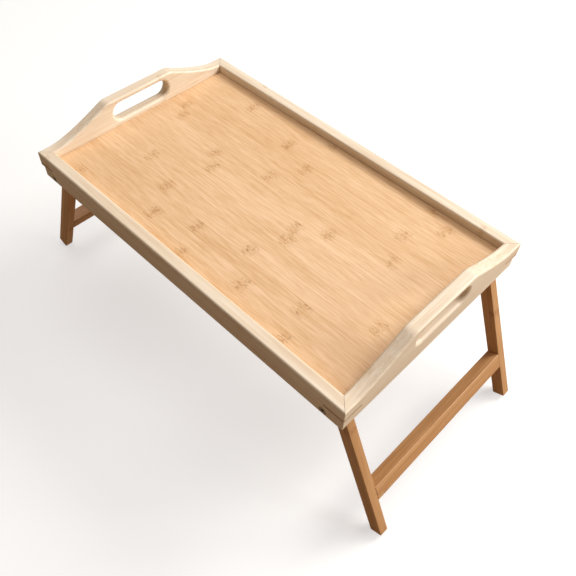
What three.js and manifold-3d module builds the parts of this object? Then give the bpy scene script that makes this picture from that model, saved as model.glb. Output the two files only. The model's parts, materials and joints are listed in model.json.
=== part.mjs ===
// Folding tray table: a bamboo bed tray with two cut-out handles, standing on two pairs of folding legs.
// Units are millimetres. X runs along the tray, Y across it and Z up. The origin is on the floor, under
// the middle of the tray, with both leg pairs folded out against their stops.

import * as THREE from "three";
import { mergeVertices } from "three/addons/utils/BufferGeometryUtils.js";
import Module from "manifold-3d";

const wasm = await Module();
wasm.setup();

// ---------------------------------------------------------------- driving dimensions

const GAP = 0.3; // between faces that touch

const TRAY_LENGTH = 500;
const TRAY_WIDTH = 300;
const RAIL_THICKNESS = 15;
const RAIL_HEIGHT = 33.5;
const RAIL_EASE = 2.5; // rounding of the frame's long edges
const CORNER_ROUNDING = 1.5; // of the frame's four upright corners

const WELL_DEPTH = 11; // rail top down to the board
const BOARD_THICKNESS = 4;
const GROOVE_DEPTH = 5; // groove in the frame that holds the board's edge

const SLOT_LENGTH = 88;
const SLOT_HEIGHT = 24.2;
const SLOT_EDGE = 4; // rounding of the handle slot's rims
const SLOT_ABOVE_BOARD = 7.2;
const GRIP_BAR = 7.1; // wood above the slot
const GRIP_MARGIN = 6.8; // level top edge beyond each end of the slot
const SHOULDER_ROUNDING = 5; // tangent length where the level top edge turns down
const SWEEP_FULLNESS = 0.716; // share of the sweep's run that its end tangent spans

const KEY_THICKNESS = 2.4; // flat key across each mitre
const KEY_DEPTH_BELOW_TOP = 15.5; // rail top down to the key's middle
const KEY_WEB = 4; // wood kept between the key and the frame's inner corner
const KEY_RECESS = 0.7; // the key's edges sit this far inside the frame's faces
const CORNER_BEVEL = 8; // bevel on two opposite corners, under the key
const BEVEL_BELOW_KEY = 1.8;

const LEG_WIDTH = 16;
const LEG_THICKNESS = 12;
const LEG_EASE = 1;
const LEG_SPLAY = THREE.MathUtils.degToRad(24); // from the vertical
const FOLDED_FEET_GAP = 14.2; // between the two pairs' feet when both are folded
const PIVOT_ABOVE_EDGE = 6; // above the rail's lower edge
const STOP_GAP = 0.3; // leg to the end panel's lower edge when folded out

const CROSSBAR_HEIGHT = 22;
const CROSSBAR_FOOT_DISTANCE = 53; // foot end to the crossbar's near edge, along the leg
const CROSSBAR_EASE = 1;

const DOWEL_RADIUS = 3;
const DOWEL_SPACING = 10;
const DOWEL_IN_LEG = 8;
const DOWEL_IN_CROSSBAR = 16;
const DOWEL_CHAMFER = 0.6;

const BOLT_RADIUS = 2.5;
const BOLT_HEAD_RADIUS = 4;
const BOLT_HEAD_HEIGHT = 2.4;
const BOLT_HEAD_DOME = 0.9;
const BOLT_SOCKET_RADIUS = 1.75;
const BOLT_SOCKET_DEPTH = 1.5;
const BOLT_TIP_CHAMFER = 0.5;
const BOLT_PAST_NUT = 0.8;
const COUNTERBORE_RADIUS = 4.7;
const COUNTERBORE_DEPTH = 3.4;
const WASHER_RADIUS = 5.5;
const WASHER_THICKNESS = 0.8;
const NUT_RADIUS = 4.6; // centre to corner
const NUT_HEIGHT = 3.4;
const NUT_COLLAR_RADIUS = 3.7;
const NUT_COLLAR_HEIGHT = 1.4;

const ARC_STEPS = 16; // segments in a full small circle
const CURVE_STEPS = 8; // segments in one stretch of a curved outline
const EDGE_STEPS = 3; // segments in a rounded edge
const BAR_EDGE_STEPS = 2; // the same for a bar's long edges, where THREE.Shape doubles the number
const OVERRUN = 2; // how far a cutter runs past the face that it cuts

// ---------------------------------------------------------------- worked-out places

const HALF_LENGTH = TRAY_LENGTH / 2;
const HALF_WIDTH = TRAY_WIDTH / 2;
const INNER_HALF_LENGTH = HALF_LENGTH - RAIL_THICKNESS;
const INNER_HALF_WIDTH = HALF_WIDTH - RAIL_THICKNESS;

// Heights in the tray's own frame, whose z = 0 is the rails' lower edge.
const BOARD_TOP = RAIL_HEIGHT - WELL_DEPTH;
const BOARD_UNDERSIDE = BOARD_TOP - BOARD_THICKNESS;
const SLOT_CENTRE = BOARD_TOP + SLOT_ABOVE_BOARD + SLOT_HEIGHT / 2;
const HANDLE_TOP = SLOT_CENTRE + SLOT_HEIGHT / 2 + GRIP_BAR;
const KEY_CENTRE = RAIL_HEIGHT - KEY_DEPTH_BELOW_TOP;
const KERF_HEIGHT = KEY_THICKNESS + 2 * GAP;
const KEY_REACH = 2 * RAIL_THICKNESS - KEY_WEB;
const BEVEL_TOP = KEY_CENTRE - KERF_HEIGHT / 2 - BEVEL_BELOW_KEY;

// The leg's outer face meets the rounded lower inner edge of the end panel, which stops it at the splay
// angle. The stop's reach runs level, from the pivot to the middle of that rounding.
const LEG_HALF_WIDTH = LEG_WIDTH / 2;
const EASE_BELOW_PIVOT = PIVOT_ABOVE_EDGE - RAIL_EASE;
const STOP_REACH =
  (LEG_HALF_WIDTH + STOP_GAP + RAIL_EASE + EASE_BELOW_PIVOT * Math.sin(LEG_SPLAY)) / Math.cos(LEG_SPLAY);
const PIVOT_X = INNER_HALF_LENGTH + RAIL_EASE - STOP_REACH;
const LEG_REACH = PIVOT_X - FOLDED_FEET_GAP / 2;
const PIVOT_Z = LEG_REACH * Math.cos(LEG_SPLAY) + LEG_HALF_WIDTH * Math.sin(LEG_SPLAY);
const RAIL_BOTTOM = PIVOT_Z - PIVOT_ABOVE_EDGE;

// Distances from the tray's middle plane, along a pivot bolt from its head inwards.
const BOLT_SEAT = HALF_WIDTH - COUNTERBORE_DEPTH;
const OUTER_WASHER_FACE = INNER_HALF_WIDTH - GAP;
const LEG_OUTER_FACE = OUTER_WASHER_FACE - WASHER_THICKNESS - GAP;
const LEG_INNER_FACE = LEG_OUTER_FACE - LEG_THICKNESS;
const INNER_WASHER_FACE = LEG_INNER_FACE - GAP;
const NUT_FACE = INNER_WASHER_FACE - WASHER_THICKNESS - GAP;
const BOLT_END = NUT_FACE - NUT_HEIGHT - NUT_COLLAR_HEIGHT - BOLT_PAST_NUT;

const CROSSBAR_CENTRE = -(LEG_REACH - CROSSBAR_FOOT_DISTANCE - CROSSBAR_HEIGHT / 2);
const CROSSBAR_HALF_LENGTH = LEG_INNER_FACE - GAP;

// ---------------------------------------------------------------- finishes

const PALE_BAMBOO = 0xead3ab;
const TAN_BAMBOO = 0xdba873;
const LEG_BAMBOO = 0xb98352;
const DARK_BAMBOO = 0x6e4728;
const STEEL = 0xb9b6b0;

/** A matt or satin wood material of one colour. */
function wood(color) {
  return new THREE.MeshStandardMaterial({ color, roughness: 0.45, metalness: 0 });
}

/** Bright plated steel. */
function steel() {
  return new THREE.MeshStandardMaterial({ color: STEEL, roughness: 0.3, metalness: 1 });
}

// ---------------------------------------------------------------- solids and geometries

/** A closed geometry as a manifold solid. */
function solidOf(geometry) {
  const bare = geometry.clone();
  bare.deleteAttribute("normal");
  bare.deleteAttribute("uv");
  const merged = mergeVertices(bare, 1e-4);
  const mesh = new wasm.Mesh({
    numProp: 3,
    vertProperties: new Float32Array(merged.attributes.position.array),
    triVerts: new Uint32Array(merged.index.array),
  });
  return new wasm.Manifold(mesh);
}

/** A manifold solid as a geometry with flat normals. */
function geometryOf(solid) {
  const mesh = solid.getMesh();
  const indexed = new THREE.BufferGeometry();
  indexed.setAttribute("position", new THREE.BufferAttribute(mesh.vertProperties, 3));
  indexed.setIndex(new THREE.BufferAttribute(mesh.triVerts, 1));
  const geometry = indexed.toNonIndexed();
  geometry.computeVertexNormals();
  return geometry;
}

/** The first geometry with every cutter taken out of it. */
function cut(geometry, cutters) {
  const cutSolid = cutters.reduce((solid, cutter) => solid.subtract(solidOf(cutter)), solidOf(geometry));
  return geometryOf(cutSolid);
}

/** The solid that two geometries share. */
function common(first, second) {
  return geometryOf(solidOf(first).intersect(solidOf(second)));
}

/** Two geometries joined into one. */
function join(first, second) {
  return geometryOf(solidOf(first).add(solidOf(second)));
}

/** Extrudes a shape, its edges rounded by ease at both ends without making it any larger. */
function extrude(shape, depth, { ease = 0, curveSegments = CURVE_STEPS } = {}) {
  return new THREE.ExtrudeGeometry(shape, {
    depth: depth - 2 * ease,
    bevelEnabled: ease > 0,
    bevelThickness: ease,
    bevelSize: ease,
    bevelOffset: -ease,
    bevelSegments: EDGE_STEPS,
    curveSegments,
  }).translate(0, 0, ease);
}

/** A straight bar with its long edges rounded, running along Z. */
function easedBar(width, height, ease, length) {
  return extrude(roundedBar(width, height, ease), length, { curveSegments: BAR_EDGE_STEPS });
}

/** Turns a geometry drawn in XY and extruded along Z so that it is drawn in YZ and runs along X. */
function alongX(geometry) {
  const x = new THREE.Vector3(1, 0, 0);
  const y = new THREE.Vector3(0, 1, 0);
  const z = new THREE.Vector3(0, 0, 1);
  return geometry.applyMatrix4(new THREE.Matrix4().makeBasis(y, z, x));
}

/** Turns a geometry drawn in XY and extruded along Z so that it is drawn in XZ and runs along -Y. */
function alongY(geometry) {
  return geometry.rotateX(Math.PI / 2);
}

/** A closed polygon through the given [x, y] points. */
function polygon(points) {
  return new THREE.Shape(points.map(([x, y]) => new THREE.Vector2(x, y)));
}

/** A rectangle with rounded corners, centred across and standing on y = 0. */
function roundedBar(width, height, radius) {
  const half = width / 2;
  const shape = new THREE.Shape();
  shape.absarc(half - radius, radius, radius, -Math.PI / 2, 0);
  shape.absarc(half - radius, height - radius, radius, 0, Math.PI / 2);
  shape.absarc(-half + radius, height - radius, radius, Math.PI / 2, Math.PI);
  shape.absarc(-half + radius, radius, radius, Math.PI, 1.5 * Math.PI);
  return shape;
}

/** A slot with fully round ends, centred on the origin and enlarged by margin all round. */
function roundEndedSlot(margin) {
  const radius = SLOT_HEIGHT / 2 + margin;
  const centre = SLOT_LENGTH / 2 - SLOT_HEIGHT / 2;
  const shape = new THREE.Shape();
  shape.absarc(centre, 0, radius, -Math.PI / 2, Math.PI / 2);
  shape.absarc(-centre, 0, radius, Math.PI / 2, 1.5 * Math.PI);
  return shape;
}

/** A round pin along Y, from y = 0 up to y = length. */
function pin(radius, length) {
  return new THREE.CylinderGeometry(radius, radius, length, ARC_STEPS).translate(0, length / 2, 0);
}

/** A named mesh added to a group. */
function addPart(group, name, geometry, material) {
  const mesh = new THREE.Mesh(geometry, material);
  mesh.name = name;
  group.add(mesh);
  return mesh;
}

// ---------------------------------------------------------------- cutters shared by the frame

/** The groove all round the inside of the frame, as the one block that would fill it. */
function boardPocket() {
  return new THREE.BoxGeometry(
    2 * (INNER_HALF_LENGTH + GROOVE_DEPTH),
    2 * (INNER_HALF_WIDTH + GROOVE_DEPTH),
    BOARD_THICKNESS + 2 * GAP,
  ).translate(0, 0, BOARD_TOP - BOARD_THICKNESS / 2);
}

/** The saw kerfs for the corner keys, one across each corner. */
function keyKerfs() {
  const kerfs = [];
  for (const [endX, endY] of [[-1, -1], [1, -1], [1, 1], [-1, 1]]) {
    const outline = polygon([
      [endX * (HALF_LENGTH + OVERRUN), endY * (HALF_WIDTH + OVERRUN)],
      [endX * (HALF_LENGTH - KEY_REACH - OVERRUN), endY * (HALF_WIDTH + OVERRUN)],
      [endX * (HALF_LENGTH + OVERRUN), endY * (HALF_WIDTH - KEY_REACH - OVERRUN)],
    ]);
    kerfs.push(extrude(outline, KERF_HEIGHT).translate(0, 0, KEY_CENTRE - KERF_HEIGHT / 2));
  }
  return kerfs;
}

/** Bevels under the key on the front left and back right corners. */
function cornerBevels() {
  const bevels = [];
  for (const side of [-1, 1]) {
    const outline = polygon([
      [side * (HALF_LENGTH + OVERRUN), side * (HALF_WIDTH + OVERRUN)],
      [side * (HALF_LENGTH - CORNER_BEVEL - OVERRUN), side * (HALF_WIDTH + OVERRUN)],
      [side * (HALF_LENGTH + OVERRUN), side * (HALF_WIDTH - CORNER_BEVEL - OVERRUN)],
    ]);
    bevels.push(extrude(outline, BEVEL_TOP + OVERRUN).translate(0, 0, -OVERRUN));
  }
  return bevels;
}

/** The room a mitred frame member has: a trapezium that narrows inwards at 45 degrees. */
function mitreRoom(halfAlong, halfAcross, height) {
  const setback = GAP / Math.SQRT2;
  const inner = halfAcross - RAIL_THICKNESS - OVERRUN;
  const outer = halfAcross + OVERRUN;
  const endInside = halfAlong - RAIL_THICKNESS - OVERRUN - setback;
  const endOutside = halfAlong + OVERRUN - setback;
  const outline = polygon([
    [-endOutside, -outer],
    [endOutside, -outer],
    [endInside, -inner],
    [-endInside, -inner],
  ]);
  return extrude(outline, height + 2 * OVERRUN).translate(0, 0, -OVERRUN);
}

/** The tray's whole plan with its rounded corners, which every frame member keeps inside. */
function trayPlan() {
  const plan = extrude(roundedBar(TRAY_LENGTH, TRAY_WIDTH, CORNER_ROUNDING), HANDLE_TOP);
  return plan.translate(0, -HALF_WIDTH, 0);
}

// ---------------------------------------------------------------- frame

/** The front rail. The back rail is the same piece turned half round. */
function railGeometry() {
  const bar = alongX(easedBar(RAIL_THICKNESS, RAIL_HEIGHT, RAIL_EASE, TRAY_LENGTH));
  bar.translate(-HALF_LENGTH, -HALF_WIDTH + RAIL_THICKNESS / 2, 0);
  const room = common(trayPlan(), mitreRoom(HALF_LENGTH, HALF_WIDTH, RAIL_HEIGHT));
  const cutters = [boardPocket(), ...keyKerfs(), ...cornerBevels()];
  for (const side of [-1, 1]) {
    const bore = pin(BOLT_RADIUS + GAP, RAIL_THICKNESS + 2 * OVERRUN);
    bore.translate(side * PIVOT_X, -HALF_WIDTH - OVERRUN, PIVOT_ABOVE_EDGE);
    const counterbore = pin(COUNTERBORE_RADIUS, COUNTERBORE_DEPTH + OVERRUN);
    counterbore.translate(side * PIVOT_X, -HALF_WIDTH - OVERRUN, PIVOT_ABOVE_EDGE);
    cutters.push(bore, counterbore);
  }
  return cut(common(bar, room), cutters);
}

/** The end panel's outline, run past the tray's corners: level there, sweeping up to the level grip. */
function endPanelOutline() {
  const breakPoint = new THREE.Vector2(SLOT_LENGTH / 2 + GRIP_MARGIN, HANDLE_TOP);
  const sweepStart = new THREE.Vector2(INNER_HALF_WIDTH, RAIL_HEIGHT);
  const run = sweepStart.x - breakPoint.x;
  const sweepControl = new THREE.Vector2(breakPoint.x + SWEEP_FULLNESS * run, RAIL_HEIGHT);
  const slope = sweepControl.clone().sub(breakPoint).normalize();
  const sweepEnd = breakPoint.clone().addScaledVector(slope, SHOULDER_ROUNDING);
  const levelEnd = breakPoint.x - SHOULDER_ROUNDING;

  const end = HALF_WIDTH + RAIL_EASE;

  const outline = new THREE.Shape();
  outline.moveTo(-end, 0);
  outline.lineTo(end, 0);
  outline.lineTo(end, RAIL_HEIGHT);
  outline.lineTo(sweepStart.x, sweepStart.y);
  outline.quadraticCurveTo(sweepControl.x, sweepControl.y, sweepEnd.x, sweepEnd.y);
  outline.quadraticCurveTo(breakPoint.x, breakPoint.y, levelEnd, HANDLE_TOP);
  outline.lineTo(-levelEnd, HANDLE_TOP);
  outline.quadraticCurveTo(-breakPoint.x, breakPoint.y, -sweepEnd.x, sweepEnd.y);
  outline.quadraticCurveTo(-sweepControl.x, sweepControl.y, -sweepStart.x, sweepStart.y);
  outline.lineTo(-end, RAIL_HEIGHT);
  return outline;
}

/** Cutters for the handle slot: the slot itself, and the rims' rounding in short conical steps. */
function slotCutters() {
  const through = extrude(roundEndedSlot(0), RAIL_THICKNESS + 2 * OVERRUN).translate(0, 0, -OVERRUN);
  const cutters = [through];
  const onRim = (step) => {
    const angle = (step / EDGE_STEPS) * (Math.PI / 2);
    return { depth: SLOT_EDGE * (1 - Math.sin(angle)), margin: SLOT_EDGE * (1 - Math.cos(angle)) };
  };
  for (let step = 0; step < EDGE_STEPS; step += 1) {
    const deep = onRim(step);
    const shallow = onRim(step + 1);
    for (const face of [0, 1]) {
      const cone = new THREE.ExtrudeGeometry(roundEndedSlot(deep.margin), {
        depth: SLOT_EDGE + OVERRUN,
        bevelThickness: deep.depth - shallow.depth,
        bevelSize: shallow.margin - deep.margin,
        bevelSegments: 1,
        curveSegments: CURVE_STEPS,
      });
      if (face === 0) cone.rotateY(Math.PI);
      cutters.push(cone.translate(0, 0, face === 0 ? shallow.depth : RAIL_THICKNESS - shallow.depth));
    }
  }
  return cutters.map((cutter) => alongX(cutter).translate(-HALF_LENGTH, 0, SLOT_CENTRE));
}

/** The left end panel with its handle. The right one is the same piece turned half round. */
function endPanelGeometry() {
  const board = alongX(extrude(endPanelOutline(), RAIL_THICKNESS, { ease: RAIL_EASE }));
  board.translate(-HALF_LENGTH, 0, 0);
  const room = common(trayPlan(), mitreRoom(HALF_WIDTH, HALF_LENGTH, HANDLE_TOP).rotateZ(-Math.PI / 2));
  return cut(common(board, room), [boardPocket(), ...keyKerfs(), ...cornerBevels(), ...slotCutters()]);
}

/** The board in the frame's groove, its corners clipped clear of the corner keys. */
function boardGeometry() {
  const halfX = INNER_HALF_LENGTH + GROOVE_DEPTH - GAP;
  const halfY = INNER_HALF_WIDTH + GROOVE_DEPTH - GAP;
  const insetOfCorner = 2 * (RAIL_THICKNESS - GROOVE_DEPTH + GAP);
  const clip = Math.max(GAP, KEY_REACH + GAP * Math.SQRT2 - insetOfCorner);
  const outline = polygon([
    [-halfX + clip, -halfY],
    [halfX - clip, -halfY],
    [halfX, -halfY + clip],
    [halfX, halfY - clip],
    [halfX - clip, halfY],
    [-halfX + clip, halfY],
    [-halfX, halfY - clip],
    [-halfX, -halfY + clip],
  ]);
  return extrude(outline, BOARD_THICKNESS).translate(0, 0, BOARD_UNDERSIDE);
}

/** A flat three-cornered key, drawn from the frame's corner with its legs along +X and +Y. */
function keyGeometry() {
  const reach = KEY_REACH - GAP * Math.SQRT2 - KEY_RECESS;
  const outline = polygon([
    [KEY_RECESS, KEY_RECESS],
    [reach, KEY_RECESS],
    [KEY_RECESS, reach],
  ]);
  return extrude(outline, KEY_THICKNESS).translate(0, 0, KEY_CENTRE - KEY_THICKNESS / 2);
}

// ---------------------------------------------------------------- pivot hardware, each along +Y

/** A pivot bolt: socket head above y = 0, shank below it. */
function boltGeometry() {
  const length = BOLT_SEAT - BOLT_END;
  const profile = [
    [0, -length],
    [BOLT_RADIUS - BOLT_TIP_CHAMFER, -length],
    [BOLT_RADIUS, -length + BOLT_TIP_CHAMFER],
    [BOLT_RADIUS, 0],
    [BOLT_HEAD_RADIUS, 0],
    [BOLT_HEAD_RADIUS, BOLT_HEAD_HEIGHT - BOLT_HEAD_DOME],
    [BOLT_HEAD_RADIUS - BOLT_HEAD_DOME / 3, BOLT_HEAD_HEIGHT - BOLT_HEAD_DOME / 3],
    [BOLT_HEAD_RADIUS - BOLT_HEAD_DOME, BOLT_HEAD_HEIGHT],
    [0, BOLT_HEAD_HEIGHT],
  ].map(([r, y]) => new THREE.Vector2(r, y));
  const turned = new THREE.LatheGeometry(profile, ARC_STEPS);
  const depth = BOLT_SOCKET_DEPTH + OVERRUN;
  const socket = new THREE.CylinderGeometry(BOLT_SOCKET_RADIUS, BOLT_SOCKET_RADIUS, depth, 6);
  socket.translate(0, BOLT_HEAD_HEIGHT - BOLT_SOCKET_DEPTH + depth / 2, 0);
  return cut(turned, [socket]);
}

/** A flat washer on the bolt, from y = 0 up. */
function washerGeometry() {
  const bore = BOLT_RADIUS + GAP;
  const profile = [
    [bore, 0],
    [WASHER_RADIUS, 0],
    [WASHER_RADIUS, WASHER_THICKNESS],
    [bore, WASHER_THICKNESS],
    [bore, 0],
  ].map(([r, y]) => new THREE.Vector2(r, y));
  return new THREE.LatheGeometry(profile, ARC_STEPS);
}

/** A lock nut from y = 0 down, its round collar on the side away from the leg. */
function nutGeometry() {
  const hexagon = new THREE.CylinderGeometry(NUT_RADIUS, NUT_RADIUS, NUT_HEIGHT, 6);
  hexagon.translate(0, -NUT_HEIGHT / 2, 0);
  const height = NUT_HEIGHT + NUT_COLLAR_HEIGHT;
  const collar = pin(NUT_COLLAR_RADIUS, height - NUT_HEIGHT / 2).translate(0, -height, 0);
  const bore = pin(BOLT_RADIUS + GAP, height + 2 * OVERRUN).translate(0, -height - OVERRUN, 0);
  return cut(join(hexagon, collar), [bore]);
}

// ---------------------------------------------------------------- legs

/** A blank round hole for a dowel in a leg pair's own frame, along Y between two distances. */
function dowelHole(height, fromY, toY) {
  return pin(DOWEL_RADIUS + GAP, Math.abs(toY - fromY)).translate(0, Math.min(fromY, toY), height);
}

/** Heights of a joint's dowels in the leg pair's own frame. */
function dowelHeights() {
  return [CROSSBAR_CENTRE + DOWEL_SPACING / 2, CROSSBAR_CENTRE - DOWEL_SPACING / 2];
}

/** The leg on the -Y side, hanging from its pivot at the origin with a round top and a square foot. */
function legGeometry() {
  const outline = new THREE.Shape();
  outline.absarc(0, 0, LEG_HALF_WIDTH, 0, Math.PI);
  outline.lineTo(-LEG_HALF_WIDTH, -LEG_REACH);
  outline.lineTo(LEG_HALF_WIDTH, -LEG_REACH);
  const leg = alongY(extrude(outline, LEG_THICKNESS, { ease: LEG_EASE }));
  leg.translate(0, -LEG_INNER_FACE, 0);
  const bore = pin(BOLT_RADIUS + GAP, LEG_THICKNESS + 2 * OVERRUN);
  bore.translate(0, -LEG_OUTER_FACE - OVERRUN, 0);
  const holes = dowelHeights().map((height) =>
    dowelHole(height, -LEG_INNER_FACE - DOWEL_IN_LEG - GAP, -LEG_INNER_FACE + OVERRUN),
  );
  return cut(leg, [bore, ...holes]);
}

/** The crossbar between a pair's legs, as thick as the legs are wide. */
function crossbarGeometry() {
  const bar = alongY(easedBar(LEG_WIDTH, CROSSBAR_HEIGHT, CROSSBAR_EASE, 2 * CROSSBAR_HALF_LENGTH));
  bar.translate(0, CROSSBAR_HALF_LENGTH, CROSSBAR_CENTRE - CROSSBAR_HEIGHT / 2);
  const holes = [];
  for (const side of [-1, 1]) {
    for (const height of dowelHeights()) {
      const inside = side * (LEG_INNER_FACE - DOWEL_IN_CROSSBAR - GAP);
      holes.push(dowelHole(height, inside, side * (CROSSBAR_HALF_LENGTH + OVERRUN)));
    }
  }
  return cut(bar, holes);
}

/** A dowel along Y, centred on the leg's inner face when placed there. */
function dowelGeometry() {
  const profile = [
    [0, -DOWEL_IN_LEG],
    [DOWEL_RADIUS - DOWEL_CHAMFER, -DOWEL_IN_LEG],
    [DOWEL_RADIUS, -DOWEL_IN_LEG + DOWEL_CHAMFER],
    [DOWEL_RADIUS, DOWEL_IN_CROSSBAR - DOWEL_CHAMFER],
    [DOWEL_RADIUS - DOWEL_CHAMFER, DOWEL_IN_CROSSBAR],
    [0, DOWEL_IN_CROSSBAR],
  ].map(([r, y]) => new THREE.Vector2(r, y));
  return new THREE.LatheGeometry(profile, ARC_STEPS / 2);
}

// ---------------------------------------------------------------- assembly

/** The tray's frame, board, keys and pivot hardware, with z = 0 at the rails' lower edge. */
function makeTray() {
  const tray = new THREE.Group();
  tray.position.z = RAIL_BOTTOM;

  addPart(tray, "front_rail", railGeometry(), wood(PALE_BAMBOO));
  addPart(tray, "back_rail", railGeometry(), wood(PALE_BAMBOO)).rotation.z = Math.PI;
  addPart(tray, "left_end_panel", endPanelGeometry(), wood(PALE_BAMBOO));
  addPart(tray, "right_end_panel", endPanelGeometry(), wood(PALE_BAMBOO)).rotation.z = Math.PI;
  addPart(tray, "base_board", boardGeometry(), wood(TAN_BAMBOO));

  const corners = [
    ["front_left", -HALF_LENGTH, -HALF_WIDTH],
    ["front_right", HALF_LENGTH, -HALF_WIDTH],
    ["back_right", HALF_LENGTH, HALF_WIDTH],
    ["back_left", -HALF_LENGTH, HALF_WIDTH],
  ];
  corners.forEach(([corner, x, y], quarterTurns) => {
    const key = addPart(tray, `corner_key_${corner}`, keyGeometry(), wood(DARK_BAMBOO));
    key.position.set(x, y, 0);
    key.rotation.z = (quarterTurns * Math.PI) / 2;
    tray.add(makePivot(corner, Math.sign(x), Math.sign(y)));
  });
  return tray;
}

/** One pivot's bolt, washers and nut, with +Y of its group pointing out through the rail. */
function makePivot(corner, endX, endY) {
  const pivot = new THREE.Group();
  pivot.position.set(endX * PIVOT_X, 0, PIVOT_ABOVE_EDGE);
  pivot.rotation.z = endY > 0 ? 0 : Math.PI;
  const pieces = [
    ["pivot_bolt", boltGeometry(), BOLT_SEAT + GAP],
    ["outer_washer", washerGeometry(), OUTER_WASHER_FACE - WASHER_THICKNESS],
    ["inner_washer", washerGeometry(), INNER_WASHER_FACE - WASHER_THICKNESS],
    ["lock_nut", nutGeometry(), NUT_FACE],
  ];
  for (const [name, geometry, y] of pieces) {
    addPart(pivot, `${name}_${corner}`, geometry, steel()).position.y = y;
  }
  return pivot;
}

/** One folding leg pair: two legs, their crossbar and its dowels, hung from the pair's pivot line. */
function makeLegPair(end, nearSide, farSide) {
  const pair = new THREE.Group();
  addPart(pair, `${end}_leg_${nearSide}`, legGeometry(), wood(LEG_BAMBOO));
  addPart(pair, `${end}_leg_${farSide}`, legGeometry(), wood(LEG_BAMBOO)).rotation.z = Math.PI;
  addPart(pair, `${end}_crossbar`, crossbarGeometry(), wood(LEG_BAMBOO));
  for (const [side, turn] of [[nearSide, 0], [farSide, Math.PI]]) {
    dowelHeights().forEach((height, index) => {
      const joint = new THREE.Group();
      joint.rotation.z = turn;
      const position = index === 0 ? "upper" : "lower";
      const dowel = addPart(joint, `${end}_dowel_${side}_${position}`, dowelGeometry(), wood(TAN_BAMBOO));
      dowel.position.set(0, -LEG_INNER_FACE, height);
      pair.add(joint);
    });
  }
  pair.position.set(PIVOT_X, 0, PIVOT_Z);
  pair.rotation.y = -LEG_SPLAY;
  return pair;
}

const table = new THREE.Group();
table.add(makeTray());
table.add(makeLegPair("right", "front", "back"));
const leftEnd = new THREE.Group();
leftEnd.rotation.z = Math.PI;
leftEnd.add(makeLegPair("left", "back", "front"));
table.add(leftEnd);

export default table;
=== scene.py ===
"""A folding bamboo tray table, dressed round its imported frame.

The frame gives every piece its place and size. This script makes the visible wood and steel again with
fine edges, dresses each piece in procedural bamboo or zinc-plated steel, and sets up a plain studio.

All lengths are in metres. +X runs along the tray, +Y across it to the back rail and +Z up.
"""

import json
import logging
import math
from abc import ABC, abstractmethod
from collections.abc import Sequence
from dataclasses import dataclass, field
from enum import Enum

import bmesh
import bpy
from mathutils import Matrix, Vector


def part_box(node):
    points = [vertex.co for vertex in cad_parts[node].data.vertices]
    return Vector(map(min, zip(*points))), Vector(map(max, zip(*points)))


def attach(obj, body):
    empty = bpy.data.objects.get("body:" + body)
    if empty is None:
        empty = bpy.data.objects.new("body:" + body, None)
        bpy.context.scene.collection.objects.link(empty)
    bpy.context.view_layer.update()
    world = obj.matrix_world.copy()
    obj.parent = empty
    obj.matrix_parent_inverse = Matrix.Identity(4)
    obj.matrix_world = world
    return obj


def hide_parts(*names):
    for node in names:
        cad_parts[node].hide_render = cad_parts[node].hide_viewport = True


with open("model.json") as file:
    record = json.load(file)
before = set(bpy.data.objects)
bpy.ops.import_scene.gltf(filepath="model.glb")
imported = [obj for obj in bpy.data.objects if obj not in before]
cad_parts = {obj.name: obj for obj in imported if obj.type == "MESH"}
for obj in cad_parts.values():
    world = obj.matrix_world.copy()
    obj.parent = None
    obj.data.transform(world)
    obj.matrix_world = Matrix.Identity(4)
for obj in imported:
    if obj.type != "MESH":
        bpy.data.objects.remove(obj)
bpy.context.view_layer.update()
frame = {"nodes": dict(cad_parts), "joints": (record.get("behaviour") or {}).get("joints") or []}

log = logging.getLogger("tray_table")

Colour = tuple[float, float, float]
Point = tuple[float, float]
Loop = list[Vector]
Vert = bmesh.types.BMVert
Mesh = bpy.types.Mesh
Material = bpy.types.Material
Node = bpy.types.Node
Tree = bpy.types.NodeTree
Socket = bpy.types.NodeSocket

WHITE = (1.0, 1.0, 1.0)
BLACK = (0.0, 0.0, 0.0)

MM = 0.001
RUNNING_GAP = 0.3 * MM  # between faces that touch
OVERRUN = 2 * MM  # how far a cutter runs past the face that it cuts
WELD = 1e-6  # vertices closer than this are one
FLAT_FACE_WEIGHT = 90  # how far large faces rule the normals at their edges, 50 being not at all
BOLT_BORE = 2.8 * MM  # radius of every hole that a bolt passes through
UNSPLIT = 0.1  # strip size of a piece that is one strip
ENDLESS = 100.0  # length of a strip whose ends never show
NO_GLUE_LINE = 0.05  # first glue line of a piece that shows none
FAR_GLUE_LINE = 0.15  # first glue line that lies clear of a piece in the tray's own frame


# Mesh making


def rounding(radius: float, steps: int) -> list[Point]:
    """Points of a quarter round, from a piece's face to its side.

    Args:
        radius: Radius of the rounding.
        steps: Number of flats in it.

    Returns:
        (inset from the side, depth below the face) at each point.
    """
    points = []
    for step in range(steps + 1):
        angle = step / steps * math.pi / 2
        points.append((radius * (1 - math.sin(angle)), radius * (1 - math.cos(angle))))
    return points


def bridge(mesh: bmesh.types.BMesh, first: Sequence[Vert], second: Sequence[Vert]) -> None:
    """Joins two closed loops of equal length with a band of four-sided faces.

    Args:
        mesh: The mesh that both are in.
        first: The vertices of one loop.
        second: The vertices of the other, in the same order.
    """
    for index, vertex in enumerate(first):
        following = (index + 1) % len(first)
        mesh.faces.new((vertex, first[following], second[following], second[index]))


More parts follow.
